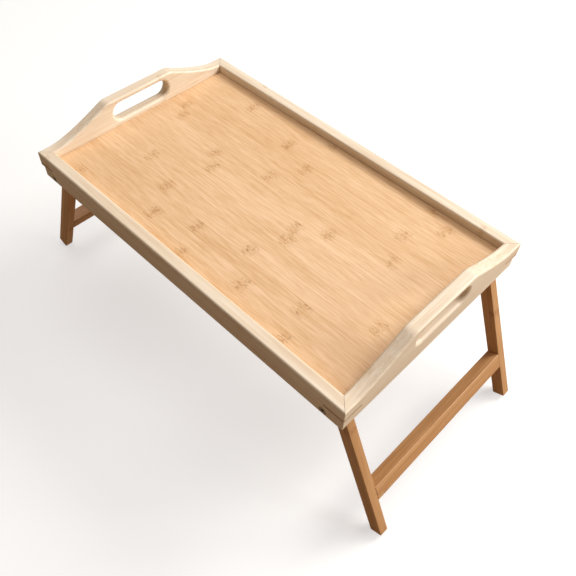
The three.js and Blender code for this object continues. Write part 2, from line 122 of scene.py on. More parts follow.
def skin(loops: Sequence[Loop], holes: Sequence[Sequence[Loop]] = ()) -> Mesh:
    """A closed mesh through a row of loops, capped at both ends.

    Args:
        loops: Closed loops of equal length, from one end of the piece to the other.
        holes: Rows of loops through the piece, each from the first cap to the last.

    Returns:
        The mesh, with its faces pointing out.
    """
    mesh = bmesh.new()
    ends: tuple[list, list] = ([], [])
    for row in (loops, *holes):
        rings = [[mesh.verts.new(point) for point in ring] for ring in row]
        for ring, following in zip(rings, rings[1:]):
            bridge(mesh, ring, following)
        ends[0].append(rings[0])
        ends[1].append(rings[-1])
    for caps in ends:
        if len(caps) == 1:
            mesh.faces.new(caps[0])
            continue
        edges = [
            mesh.edges.get((vertex, ring[(index + 1) % len(ring)]))
            for ring in caps
            for index, vertex in enumerate(ring)
        ]
        bmesh.ops.triangle_fill(mesh, use_beauty=True, edges=edges)
    bmesh.ops.recalc_face_normals(mesh, faces=mesh.faces)
    data = bpy.data.meshes.new("skin")
    mesh.to_mesh(data)
    mesh.free()
    return data


def turned(profile: Sequence[Point], steps: int = 64) -> Mesh:
    """A round solid turned about Z.

    Args:
        profile: (radius, height) points, from the axis at one end to the axis at the other, or a closed
            outline away from the axis with its first point repeated at the end.
        steps: Number of flats round the axis.

    Returns:
        The mesh, with its faces pointing out.
    """
    mesh = bmesh.new()
    verts = [mesh.verts.new((radius, 0, height)) for radius, height in profile]
    edges = [mesh.edges.new(pair) for pair in zip(verts, verts[1:])]
    bmesh.ops.spin(
        mesh,
        geom=verts + edges,
        axis=(0, 0, 1),
        cent=(0, 0, 0),
        angle=2 * math.pi,
        steps=steps,
        use_merge=True,
    )
    bmesh.ops.remove_doubles(mesh, verts=mesh.verts, dist=WELD)
    bmesh.ops.recalc_face_normals(mesh, faces=mesh.faces)
    data = bpy.data.meshes.new("turned")
    mesh.to_mesh(data)
    mesh.free()
    return data


def rod(radius: float, low: float, high: float) -> Mesh:
    """A plain round cutter along Z, between two heights."""
    return turned([(0, low), (radius, low), (radius, high), (0, high)])


def block(low: Sequence[float], high: Sequence[float]) -> Mesh:
    """A plain cutter block between two corners."""
    corners = [(low[0], low[1]), (high[0], low[1]), (high[0], high[1]), (low[0], high[1])]
    return prism(corners, low[2], high[2])


def prism(outline: Sequence[Point], low: float, high: float) -> Mesh:
    """An upright prism with a flat outline, between two heights."""
    return skin([[Vector((x, y, z)) for x, y in outline] for z in (low, high)])


def moved(mesh: Mesh, matrix: Matrix) -> Mesh:
    """The same mesh, moved by a matrix."""
    mesh.transform(matrix)
    return mesh


def in_scene(name: str, data: bpy.types.ID) -> bpy.types.Object:
    """Puts a new object in the scene.

    Args:
        name: The object's name.
        data: Its mesh, light or camera.

    Returns:
        The object.
    """
    made = bpy.data.objects.new(name, data)
    bpy.context.scene.collection.objects.link(made)
    return made


def evaluated(holder: bpy.types.Object) -> Mesh:
    """Applies an object's modifiers.

    Args:
        holder: The object, which stays as it is.

    Returns:
        A new mesh with the modifiers in it.
    """
    graph = bpy.context.evaluated_depsgraph_get()
    graph.update()
    return bpy.data.meshes.new_from_object(holder.evaluated_get(graph))


class Boolean(Enum):
    """What a tool does to the piece it meets."""

    CUT = "DIFFERENCE"
    KEEP = "INTERSECT"
    JOIN = "UNION"


def worked(mesh: Mesh, tools: Sequence[tuple[Boolean, Mesh]]) -> Mesh:
    """A mesh after each tool has cut it, kept a part of it or been joined to it.

    Args:
        mesh: The stock.
        tools: What each tool does, and its mesh, in the stock's own frame.

    Returns:
        The finished mesh.
    """
    stock = in_scene("stock", mesh)
    helpers = []
    for kind, tool_mesh in tools:
        tool = in_scene("tool", tool_mesh)
        helpers.append(tool)
        step = stock.modifiers.new(kind.name, "BOOLEAN")
        step.operation = kind.value
        step.solver = "EXACT"
        step.object = tool
    result = evaluated(stock)
    for helper in (*helpers, stock):
        bpy.data.objects.remove(helper)
    return result


def smoothed(mesh: Mesh, sharp_over: float = 32) -> Mesh:
    """Shades a mesh smooth over its roundings, with its flats kept flat.

    Args:
        mesh: The mesh to shade.
        sharp_over: Edges that turn by more than this many degrees stay sharp.

    Returns:
        The shaded mesh.
    """
    mesh.polygons.foreach_set("use_smooth", [True] * len(mesh.polygons))
    mesh.set_sharp_from_angle(angle=math.radians(sharp_over))
    holder = in_scene("holder", mesh)
    weighting = holder.modifiers.new("weighting", "WEIGHTED_NORMAL")
    weighting.weight = FLAT_FACE_WEIGHT
    weighting.keep_sharp = True
    result = evaluated(holder)
    bpy.data.objects.remove(holder)
    return result


def place(name: str, mesh: Mesh, matrix: Matrix, finish: Material, body: str) -> None:
    """Puts a finished piece in the scene in place of the frame node of its name.

    Args:
        name: The piece's name, and the node's.
        mesh: Its mesh, in its own frame.
        matrix: Where that frame stands in the table's frame.
        finish: Its material.
        body: The body that it moves with.
    """
    mesh.name = name
    mesh.materials.clear()
    mesh.materials.append(finish)
    piece = in_scene(name, mesh)
    piece.matrix_world = matrix
    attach(piece, body)
    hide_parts(name)
    log.info("%s: %d faces, rides on %s", name, len(mesh.polygons), body)


# Shader graphs


class Sheet:
    """A node tree with short calls that add a node, set its values and wire it up."""

    MIX_INPUTS = (0, 6, 7)  # a Mix node's sockets for colours, which share their names with others
    MIX_OUTPUT = 2

    def __init__(self, tree: Tree) -> None:
        """Keeps the tree and empties it.

        Args:
            tree: The node tree.
        """
        self.tree = tree
        tree.nodes.clear()
        self.column = 0

    def node(self, kind: str, **settings: object) -> Node:
        """Adds a node.

        Args:
            kind: Its type, without the ShaderNode prefix unless it is a group's own input or output.
            settings: Properties to set on it.

        Returns:
            The node.
        """
        full_name = kind if kind.startswith("NodeGroup") else "ShaderNode" + kind
        made = self.tree.nodes.new(full_name)
        made.location = (180 * self.column, -60 * (self.column % 5))
        self.column += 1
        for key, value in settings.items():
            setattr(made, key, value)
        return made

    def feed(self, socket: Socket, value: object) -> None:
        """Wires a socket to another socket, or sets its value.

        Args:
            socket: The input socket.
            value: An output socket, a number, a vector or a colour.
        """
        if isinstance(value, Socket):
            self.tree.links.new(value, socket)
        elif isinstance(value, tuple) and len(value) == 3 and socket.type == "RGBA":
            socket.default_value = (*value, 1.0)
        else:
            socket.default_value = value

    def fill(self, made: Node, **values: object) -> Node:
        """Feeds a node's inputs by name.

        Args:
            made: The node.
            values: What each input takes. Names take _ for a space.

        Returns:
            The node.
        """
        for key, value in values.items():
            self.feed(made.inputs[key.replace("_", " ")], value)
        return made

    def group(self, tree: Tree, **values: object) -> Node:
        """A node group with its own values."""
        return self.fill(self.node("Group", node_tree=tree), **values)

    def bump(self, height: Socket, strength: float, distance: float) -> Socket:
        """A normal that follows a height."""
        return self.fill(self.node("Bump"), Height=height, Strength=strength, Distance=distance).outputs[0]

    def principled(self, **values: object) -> None:
        """Ends a material in a Principled shader with the given inputs."""
        shader = self.fill(self.node("BsdfPrincipled"), **values)
        self.fill(self.node("OutputMaterial"), Surface=shader.outputs[0])

    def maths(self, operation: str, *values: object, clamp: bool = False) -> Socket:
        """A Math node's result.

        Args:
            operation: What the node does.
            values: Its inputs.
            clamp: Whether the result is kept from 0 to 1.

        Returns:
            The result.
        """
        made = self.node("Math", operation=operation, use_clamp=clamp)
        for socket, value in zip(made.inputs, values):
            self.feed(socket, value)
        return made.outputs[0]

    def vector(self, operation: str, *values: object) -> Socket:
        """A Vector Math node's vector.

        Args:
            operation: What the node does.
            values: Its inputs.

        Returns:
            The vector.
        """
        made = self.node("VectorMath", operation=operation)
        for socket, value in zip(made.inputs, values):
            self.feed(socket, value)
        return made.outputs[0]

    def split(self, vector: Socket) -> tuple[Socket, Socket, Socket]:
        """A vector's X, Y and Z.

        Args:
            vector: The vector.

        Returns:
            The three values.
        """
        made = self.node("SeparateXYZ")
        self.feed(made.inputs[0], vector)
        return made.outputs[0], made.outputs[1], made.outputs[2]

    def combine(self, x: object, y: object, z: object) -> Socket:
        """A vector from X, Y and Z.

        Args:
            x: Its X.
            y: Its Y.
            z: Its Z.

        Returns:
            The vector.
        """
        made = self.node("CombineXYZ")
        for socket, value in zip(made.inputs, (x, y, z)):
            self.feed(socket, value)
        return made.outputs[0]

    def noise(self, vector: Socket, scale: float = 1, detail: float = 2, roughness: float = 0.5) -> Socket:
        """A 3-D noise value about 0.5.

        Args:
            vector: Where it is read.
            scale: Its waves to a unit of that.
            detail: How many finer layers it has.
            roughness: How strong they are.

        Returns:
            The value.
        """
        made = self.node("TexNoise", noise_dimensions="3D")
        self.fill(made, Vector=vector, Scale=scale, Detail=detail, Roughness=roughness)
        return made.outputs[0]

    def random(self, vector: Socket) -> tuple[Socket, Socket]:
        """Two random values, the same all over one cell.

        Args:
            vector: The cell.

        Returns:
            The two values.
        """
        made = self.fill(self.node("TexWhiteNoise", noise_dimensions="3D"), Vector=vector)
        parts = self.fill(self.node("SeparateColor"), Color=made.outputs["Color"])
        return made.outputs["Value"], parts.outputs["Red"]

    def ramp(self, value: Socket, low: float, high: float, out_low: float = 0, out_high: float = 1) -> Socket:
        """A smooth step from out_low to out_high as value goes from low to high.

        Args:
            value: What the step follows.
            low: Where it starts.
            high: Where it ends.
            out_low: The result up to its start.
            out_high: The result from its end.

        Returns:
            The result.
        """
        made = self.node("MapRange", interpolation_type="SMOOTHSTEP")
        for index, number in enumerate((value, low, high, out_low, out_high)):
            self.feed(made.inputs[index], number)
        return made.outputs[0]

    def blend(self, share: object, first: object, second: object) -> Socket:
        """A colour between two colours.

        Args:
            share: The second colour's share.
            first: The first colour.
            second: The second colour.

        Returns:
            The colour.
        """
        made = self.node("Mix", data_type="RGBA")
        for index, value in zip(self.MIX_INPUTS, (share, first, second)):
            self.feed(made.inputs[index], value)
        return made.outputs[self.MIX_OUTPUT]


class Kind(Enum):
    """Kinds of socket that a node group shows."""

    VALUE = "NodeSocketFloat"
    VECTOR = "NodeSocketVector"


def new_group(name: str, inputs: dict[str, Kind], outputs: dict[str, Kind]) -> tuple[Sheet, Node]:
    """Starts a shader node group.

    Args:
        name: The group's name.
        inputs: Its input sockets' names and kinds.
        outputs: Its output sockets' names and kinds.

    Returns:
        The group's sheet, and its input node.
    """
    tree = bpy.data.node_groups.new(name, "ShaderNodeTree")
    for label, kind in inputs.items():
        tree.interface.new_socket(name=label, in_out="INPUT", socket_type=kind.value)
    for label, kind in outputs.items():
        tree.interface.new_socket(name=label, in_out="OUTPUT", socket_type=kind.value)
    sheet = Sheet(tree)
    return sheet, sheet.node("NodeGroupInput")


def close_group(sheet: Sheet, **values: Socket) -> Tree:
    """Wires a group's results to its output node, and returns the group."""
    sheet.fill(sheet.node("NodeGroupOutput"), **values)
    return sheet.tree


def new_material(name: str) -> tuple[Material, Sheet]:
    """Starts a material.

    Args:
        name: Its name.

    Returns:
        The material, and its sheet.
    """
    material = bpy.data.materials.new(name)
    material.use_nodes = True
    return material, Sheet(material.node_tree)


# Waves to a metre of the bamboo's patterns, along and twice across the grain
BROAD_STREAKS = (10, 300, 300)
FINE_STREAKS = (42, 700, 700)
CLOUDS = (6, 26, 26)
DOTS = (230, 760, 760)
WAVER = (120, 260, 260)

GLUE_LINE = (0.08 * MM, 0.3 * MM)  # where its dark middle ends, and where the line does
PATTERN_SLIDE = 3.1  # how far a strip's streaks lie from its neighbour's, at most
KNUCKLE_SLIDE = 7.3  # the same for its knuckles, in pitches
KNUCKLE_PLACE = (0.3, 0.4)  # first place of a knuckle in its pitch, and how far it wanders on
KNUCKLE_WAVER = 7 * MM
DOT_EDGE = (0.53, 0.63)
RIDGE_WIDTH = 0.8  # of the knuckle's length
SCUFF_WAVES = 9  # to one wave of the smudges
SCUFF_EDGE = (0.6, 0.72)
SCUFF_ROUGHNESS = 0.06


def lamination_group() -> Tree:
    """Glued strips: a tone for each strip, a shift for each strip, and the thin glue lines between them.

    Returns:
        The group.
    """
    sheet, given = new_group(
        "Bamboo Lamination",
        {"Vector": Kind.VECTOR, "Strip Size": Kind.VECTOR, "First Joint": Kind.VECTOR, "Seed": Kind.VALUE},
        {"Tone": Kind.VALUE, "Shift": Kind.VALUE, "Joint": Kind.VALUE},
    )
    placed = sheet.vector("SUBTRACT", given.outputs["Vector"], given.outputs["First Joint"])
    cells = sheet.vector("DIVIDE", placed, given.outputs["Strip Size"])
    seed = sheet.combine(given.outputs["Seed"], 0.0, 0.0)
    cell = sheet.vector("ADD", sheet.vector("FLOOR", cells), seed)
    tone, shift = sheet.random(cell)
    within = sheet.vector("SUBTRACT", sheet.vector("FRACTION", cells), (0.5, 0.5, 0.5))
    to_edge = sheet.vector("SUBTRACT", (0.5, 0.5, 0.5), sheet.vector("ABSOLUTE", within))
    _, across, up = sheet.split(sheet.vector("MULTIPLY", to_edge, given.outputs["Strip Size"]))
    nearest = sheet.maths("MINIMUM", across, up)
    joint = sheet.ramp(nearest, *GLUE_LINE, 1, 0)
    return close_group(sheet, Tone=tone, Shift=shift, Joint=joint)


def fibre_group() -> Tree:
    """Bamboo fibre: broad streaks, fine streaks and slow clouds, all drawn out along X.

    Returns:
        The group.
    """
    sheet, given = new_group(
        "Bamboo Fibre",
        {"Vector": Kind.VECTOR, "Shift": Kind.VALUE, "Seed": Kind.VALUE},
        {"Broad": Kind.VALUE, "Fine": Kind.VALUE, "Cloud": Kind.VALUE},
    )
    slide = sheet.maths("MULTIPLY_ADD", given.outputs["Shift"], PATTERN_SLIDE, given.outputs["Seed"])
    moved_along = sheet.vector("ADD", given.outputs["Vector"], sheet.combine(slide, slide, 0.0))
    broad = sheet.noise(sheet.vector("MULTIPLY", moved_along, BROAD_STREAKS), detail=3, roughness=0.55)
    fine = sheet.noise(sheet.vector("MULTIPLY", moved_along, FINE_STREAKS), detail=3, roughness=0.6)
    cloud = sheet.noise(sheet.vector("MULTIPLY", moved_along, CLOUDS), detail=2)
    return close_group(sheet, Broad=broad, Fine=fine, Cloud=cloud)


def knuckle_group() -> Tree:
    """The culm's knuckles: a cluster of dark flecks here and there along each strip, and a faint ridge.

    Returns:
        The group.
    """
    inputs = {
        "Vector": Kind.VECTOR,
        "Shift": Kind.VALUE,
        "Pitch": Kind.VALUE,
        "Length": Kind.VALUE,
        "Share": Kind.VALUE,
        "Seed": Kind.VALUE,
    }
    sheet, given = new_group("Bamboo Knuckles", inputs, {"Flecks": Kind.VALUE, "Ridge": Kind.VALUE})
    here, shift, pitch, length, share, seed = (given.outputs[label] for label in inputs)
    along, _, _ = sheet.split(here)
    stretched = sheet.maths("DIVIDE", along, pitch)
    offset = sheet.maths("MULTIPLY_ADD", shift, KNUCKLE_SLIDE, seed)
    place_along = sheet.maths("ADD", stretched, offset)
    number = sheet.maths("FLOOR", place_along)
    chance, wander = sheet.random(sheet.combine(number, shift, seed))
    present = sheet.maths("LESS_THAN", chance, share)
    first_place, wander_reach = KNUCKLE_PLACE
    middle = sheet.maths("MULTIPLY_ADD", wander, wander_reach, first_place)
    from_middle = sheet.maths("SUBTRACT", sheet.maths("FRACT", place_along), middle)
    distance = sheet.maths("MULTIPLY", sheet.maths("ABSOLUTE", from_middle), pitch)
    waver = sheet.noise(sheet.vector("MULTIPLY", here, WAVER), detail=2)
    wavered = sheet.maths("MULTIPLY_ADD", sheet.maths("SUBTRACT", waver, 0.5), KNUCKLE_WAVER, distance)
    near = sheet.maths("SUBTRACT", 1.0, sheet.maths("DIVIDE", wavered, length), clamp=True)
    dots = sheet.noise(sheet.vector("MULTIPLY", here, DOTS), detail=2, roughness=0.6)
    fleck = sheet.ramp(dots, *DOT_EDGE)
    flecks = sheet.maths("MULTIPLY", sheet.maths("MULTIPLY", fleck, near), present)
    ridge_end = sheet.maths("MULTIPLY", length, RIDGE_WIDTH)
    ridge = sheet.ramp(sheet.maths("ABSOLUTE", wavered), 0, ridge_end, 1, 0)
    return close_group(sheet, Flecks=flecks, Ridge=sheet.maths("MULTIPLY", ridge, present))


def handling_group() -> Tree:
    """Handling marks: a gloss that wanders a little over the surface, and fine scuffs.

    Returns:
        The group.
    """
    sheet, given = new_group(
        "Handling",
        {"Vector": Kind.VECTOR, "Gloss": Kind.VALUE, "Wander": Kind.VALUE, "Scale": Kind.VALUE},
        {"Roughness": Kind.VALUE, "Scuff": Kind.VALUE},
    )
    scaled = sheet.vector("SCALE", given.outputs["Vector"])
    sheet.feed(scaled.node.inputs["Scale"], given.outputs["Scale"])
    smudge = sheet.noise(scaled, detail=3)
    scuff = sheet.ramp(sheet.noise(scaled, scale=SCUFF_WAVES, detail=4, roughness=0.7), *SCUFF_EDGE)
    wander = sheet.maths("MULTIPLY", sheet.maths("SUBTRACT", smudge, 0.5), given.outputs["Wander"])
    level = sheet.maths("ADD", given.outputs["Gloss"], wander)
    roughness = sheet.maths("MULTIPLY_ADD", scuff, SCUFF_ROUGHNESS, level, clamp=True)
    return close_group(sheet, Roughness=roughness, Scuff=scuff)


@dataclass
class Groups:
    """The shader groups that the finishes share, each built once."""

    lamination: Tree = field(default_factory=lamination_group)
    fibre: Tree = field(default_factory=fibre_group)
    knuckles: Tree = field(default_factory=knuckle_group)
    handling: Tree = field(default_factory=handling_group)


class Grain(Enum):
    """Which way a piece's grain runs in its own frame, as a turn that brings it onto X."""

    ALONG_X = (0.0, 0.0, 0.0)
    ALONG_Y = (0.0, 0.0, -math.pi / 2)


@dataclass(frozen=True)
class Bamboo:
    """Laminated bamboo under clear satin lacquer."""

    slot: str
    pale: Colour
    deep: Colour
    fleck: Colour
    strip_width: float = UNSPLIT
    strip_height: float = UNSPLIT
    strip_contrast: float = 0.5
    streak_contrast: float = 1.0
    fine_contrast: float = 0.6
    knuckle_pitch: float = 0.24
    knuckle_length: float = 7 * MM
    knuckle_share: float = 0.6
    knuckle_strength: float = 0.6
    joint_strength: float = 0.3
    gloss: float = 0.45
    coat: float = 0.15
    coat_roughness: float = 0.3
    specular: float = 0.4
    cloud_contrast: float = 0.8  # of the streaks' contrast
    ridge_contrast: float = 0.25
    smudge: float = 0.16
    smudge_waves: float = 14.0
    broad_relief: float = 0.5
    joint_relief: float = -0.6
    bump: float = 0.12
    bump_depth: float = 0.1 * MM

    def material(
        self,
        name: str,
        groups: Groups,
        seed: float,
        first_joint: Point = (0.0, 0.0),
        grain: Grain = Grain.ALONG_X,
        shade: float = 0.5,
    ) -> Material:
        """Mixes the finish for one piece.

        Args:
            name: The material's name.
            groups: The shared shader groups.
            seed: Sets this piece's pattern apart from its neighbours'.
            first_joint: Where one glue line lies, across and up, in the piece's own frame.
            grain: Which way the grain runs.
            shade: Where the piece sits between the finish's pale and deep colours, from 0 to 1. The
                crossbars' darker value is painted shade.

        Returns:
            The material.
        """
        material, sheet = new_material(name)
        turn = sheet.node("Mapping", vector_type="POINT")
        sheet.fill(turn, Vector=sheet.node("TexCoord").outputs["Object"], Rotation=grain.value)
        here = turn.outputs[0]
        strips = sheet.group(
            groups.lamination,
            Vector=here,
            Strip_Size=(ENDLESS, self.strip_width, self.strip_height),
            First_Joint=(-ENDLESS / 2, *first_joint),
            Seed=seed,
        )
        tone, shift, joint = (strips.outputs[key] for key in ("Tone", "Shift", "Joint"))
        fibre = sheet.group(groups.fibre, Vector=here, Shift=shift, Seed=seed)
        knuckles = sheet.group(
            groups.knuckles,
            Vector=here,
            Shift=shift,
            Pitch=self.knuckle_pitch,
            Length=self.knuckle_length,
            Share=self.knuckle_share,
            Seed=seed,
        )
        depth: Socket | float = shade
        parts = (
            (tone, self.strip_contrast),
            (fibre.outputs["Broad"], self.streak_contrast),
            (fibre.outputs["Fine"], self.fine_contrast),
            (fibre.outputs["Cloud"], self.cloud_contrast * self.streak_contrast),
        )
        for value, weight in parts:
            depth = sheet.maths("MULTIPLY_ADD", sheet.maths("SUBTRACT", value, 0.5), weight, depth)
        depth = sheet.maths("MULTIPLY_ADD", joint, self.joint_strength, depth)
        depth = sheet.maths("MULTIPLY_ADD", knuckles.outputs["Ridge"], self.ridge_contrast, depth, clamp=True)
        wood = sheet.blend(depth, self.pale, self.deep)
        marked = sheet.maths("MULTIPLY", knuckles.outputs["Flecks"], self.knuckle_strength)
        colour = sheet.blend(marked, wood, self.fleck)
        handled = sheet.group(
            groups.handling,
            Vector=here,
            Gloss=self.gloss,
            Wander=self.smudge,
            Scale=self.smudge_waves,
        )
        height = sheet.maths("MULTIPLY_ADD", fibre.outputs["Broad"], self.broad_relief, fibre.outputs["Fine"])
        height = sheet.maths("MULTIPLY_ADD", joint, self.joint_relief, height)
        sheet.principled(
            Base_Color=colour,
            Roughness=handled.outputs["Roughness"],
            Normal=sheet.bump(height, self.bump, self.bump_depth),
            Coat_Weight=self.coat,
            Coat_Roughness=self.coat_roughness,
            Specular_IOR_Level=self.specular,
        )
        return material


@dataclass(frozen=True)
class ZincSteel:
    """Zinc-plated steel, a little scuffed by its spanner."""

    slot: str
    light: Colour = (0.44, 0.42, 0.39)
    dark: Colour = (0.22, 0.20, 0.18)
    gloss: float = 0.24
    smudge: float = 0.3
    smudge_waves: float = 260.0
    cloud_waves: float = 420.0
    cloud_edge: Point = (0.45, 0.7)
    bump_waves: float = 1600.0
    bump: float = 0.1
    bump_depth: float = 0.05 * MM

    def material(self, name: str, groups: Groups) -> Material:
        """Mixes the finish.

        Args:
            name: The material's name.
            groups: The shared shader groups.

        Returns:
            The material.
        """
        material, sheet = new_material(name)
        here = sheet.node("TexCoord").outputs["Object"]
        handled = sheet.group(
            groups.handling,
            Vector=here,
            Gloss=self.gloss,
            Wander=self.smudge,
            Scale=self.smudge_waves,
        )
        cloud = sheet.noise(here, scale=self.cloud_waves, detail=3)
        tarnish = sheet.maths("MAXIMUM", sheet.ramp(cloud, *self.cloud_edge), handled.outputs["Scuff"])
        sheet.principled(
            Metallic=1.0,
            Base_Color=sheet.blend(tarnish, self.light, self.dark),
            Roughness=handled.outputs["Roughness"],
            Normal=sheet.bump(sheet.noise(here, scale=self.bump_waves), self.bump, self.bump_depth),
        )
        return material


FRAME_BAMBOO = Bamboo(
    slot="frame_bamboo",
    pale=(0.88, 0.785, 0.645),
    deep=(0.70, 0.54, 0.375),
    fleck=(0.33, 0.17, 0.07),
    strip_width=9.5 * MM,
    strip_contrast=0.35,
    streak_contrast=1.3,
    fine_contrast=0.8,
    knuckle_share=0.35,
    knuckle_strength=0.4,
    joint_strength=0.2,
)
BOARD_BAMBOO = Bamboo(
    slot="board_bamboo",
    pale=(0.84, 0.585, 0.36),
    deep=(0.62, 0.36, 0.165),
    fleck=(0.36, 0.175, 0.07),
    strip_width=20 * MM,
    strip_contrast=0.2,
    streak_contrast=0.8,
    fine_contrast=1.8,
    knuckle_pitch=0.17,
    knuckle_length=12 * MM,
    knuckle_share=0.75,
    knuckle_strength=0.85,
    joint_strength=0.12,
    gloss=0.46,
    coat=0.12,
)
LEG_BAMBOO = Bamboo(
    slot="leg_bamboo",
    pale=(0.72, 0.425, 0.20),
    deep=(0.45, 0.22, 0.085),
    fleck=(0.16, 0.065, 0.025),
    strip_width=7.3 * MM,
    knuckle_share=0.5,
    knuckle_strength=0.7,
)
KEY_BAMBOO = Bamboo(
    slot="key_bamboo",
    pale=(0.50, 0.31, 0.17),
    deep=(0.34, 0.19, 0.09),
    fleck=(0.16, 0.08, 0.04),
)
DOWEL_BAMBOO = Bamboo(
    slot="dowel_bamboo",
    pale=(0.74, 0.55, 0.34),
    deep=(0.56, 0.36, 0.18),
    fleck=(0.3, 0.15, 0.06),
    gloss=0.6,
    coat=0.0,
)
STEEL = ZincSteel(slot="steel_hardware")


BOARD_GLUE_LINES = (3 * MM, FAR_GLUE_LINE)

# What sets the pieces' patterns apart, each kind's pieces counting on from its own number
BOARD_SEED = 4.0
RAIL_SEED = 11.0
PANEL_SEED = 21.0
LEG_SEED = 31.0
KEY_SEED = 41.0
SEEDS_PER_PAIR = 5


# The tray


def pivot_point(joint: str) -> Sequence[float]:
    """The point that a joint of the frame turns about."""
    return next(each["pos_m"] for each in frame["joints"] if each["name"] == joint)


@dataclass
class TrayPlan:
    """The tray's sizes, read from the frame, and what its members share."""

    half_length: float = field(init=False)
    half_width: float = field(init=False)
    thickness: float = field(init=False)
    bottom: float = field(init=False)
    rail_top: float = field(init=False)
    handle_top: float = field(init=False)
    board_top: float = field(init=False)
    board_bottom: float = field(init=False)
    key_low: float = field(init=False)
    key_high: float = field(init=False)
    pivot_x: float = field(init=False)
    pivot_z: float = field(init=False)
    ease: float = 2.5 * MM
    corner_rounding: float = 1.5 * MM
    corner_steps: int = 6
    groove: float = 5 * MM
    corner_bevel: float = 8 * MM
    bevel_below_kerf: float = 1.8 * MM
    key_web: float = 4 * MM

    def __post_init__(self) -> None:
        """Reads the sizes from the frame's boxes and joints."""
        rail_low, rail_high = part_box("front_rail")
        panel_low, panel_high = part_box("left_end_panel")
        board_low, board_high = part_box("base_board")
        key_low, key_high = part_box("corner_key_front_right")
        self.half_length = -panel_low.x
        self.half_width = -rail_low.y
        self.thickness = rail_high.y - rail_low.y
        self.bottom = rail_low.z
        self.rail_top = rail_high.z
        self.handle_top = panel_high.z
        self.board_top = board_high.z
        self.board_bottom = board_low.z
        self.key_low = key_low.z - RUNNING_GAP
        self.key_high = key_high.z + RUNNING_GAP
        self.pivot_x, _, self.pivot_z = pivot_point("right_leg_fold")

    def rounded_plan(self) -> Mesh:
        """The whole tray's plan with its rounded corners, as a tall prism that members keep inside.

        Returns:
            The prism.
        """
        outline = []
        middle_x, middle_y = self.half_length - self.corner_rounding, self.half_width - self.corner_rounding
        for corner, (side_x, side_y) in enumerate([(1, 1), (-1, 1), (-1, -1), (1, -1)]):
            for step in range(self.corner_steps + 1):
                angle = (corner + step / self.corner_steps) * math.pi / 2
                x = side_x * middle_x + self.corner_rounding * math.cos(angle)
                y = side_y * middle_y + self.corner_rounding * math.sin(angle)
                outline.append((x, y))
        return prism(outline, self.bottom - OVERRUN, self.handle_top + OVERRUN)

    def corner_cutters(self) -> list[Mesh]:
        """The kerfs for the corner keys, and the bevels under two of them.

        Returns:
            The cutters, in the plan's own frame.
        """
        cutters = []
        kerf_reach = 2 * self.thickness - self.key_web
        kerf = (kerf_reach, self.key_low, self.key_high)
        bevel = (self.corner_bevel, self.bottom - OVERRUN, self.key_low - self.bevel_below_kerf)
        for side_x, side_y in [(-1, -1), (1, -1), (1, 1), (-1, 1)]:
            cuts = [kerf, bevel] if side_x == side_y else [kerf]
            for reach, low, high in cuts:
                x_out = side_x * (self.half_length + OVERRUN)
                y_out = side_y * (self.half_width + OVERRUN)
                x_in = side_x * (self.half_length - reach - OVERRUN)
                y_in = side_y * (self.half_width - reach - OVERRUN)
                cutters.append(prism([(x_out, y_out), (x_in, y_out), (x_out, y_in)], low, high))
        return cutters

    def board_groove(self) -> Mesh:
        """The groove round the inside of the frame, as the block that would fill it.

        Returns:
            The block.
        """
        x = self.half_length - self.thickness + self.groove
        y = self.half_width - self.thickness + self.groove
        return block((-x, -y, self.board_bottom - RUNNING_GAP), (x, y, self.board_top + RUNNING_GAP))


class Side(Enum):
    """The frame's sides, each with the turn about Z that brings a member's Y to point outwards there."""

    FRONT = math.pi
    BACK = 0.0
    LEFT = math.pi / 2
    RIGHT = -math.pi / 2

    def turn(self) -> Matrix:
        """The side's turn as a matrix."""
        return Matrix.Rotation(self.value, 4, "Z")


@dataclass
class Member(ABC):
    """A member of the tray's frame, drawn with X along it and Y outwards."""

    plan: TrayPlan
    side: Side
    seed: float
    edge_steps: int = 8
    glue_line_below: float = 20 * MM

    @abstractmethod
    def name(self) -> str:
        """The member's node name."""

    @abstractmethod
    def glue_line(self) -> float:
        """Where a glue line lies, out from the tray's middle."""

    @abstractmethod
    def mesh(self) -> Mesh:
        """The member's mesh."""

    def build(self, groups: Groups) -> None:
        """Makes the member and dresses it.

        Args:
            groups: The shared shader groups.
        """
        name = self.name()
        joints = (self.glue_line(), self.plan.bottom - self.glue_line_below)
        finish = FRAME_BAMBOO.material(f"lacquered_{name}", groups, self.seed, joints)
        place(name, self.mesh(), self.side.turn(), finish, "tray")


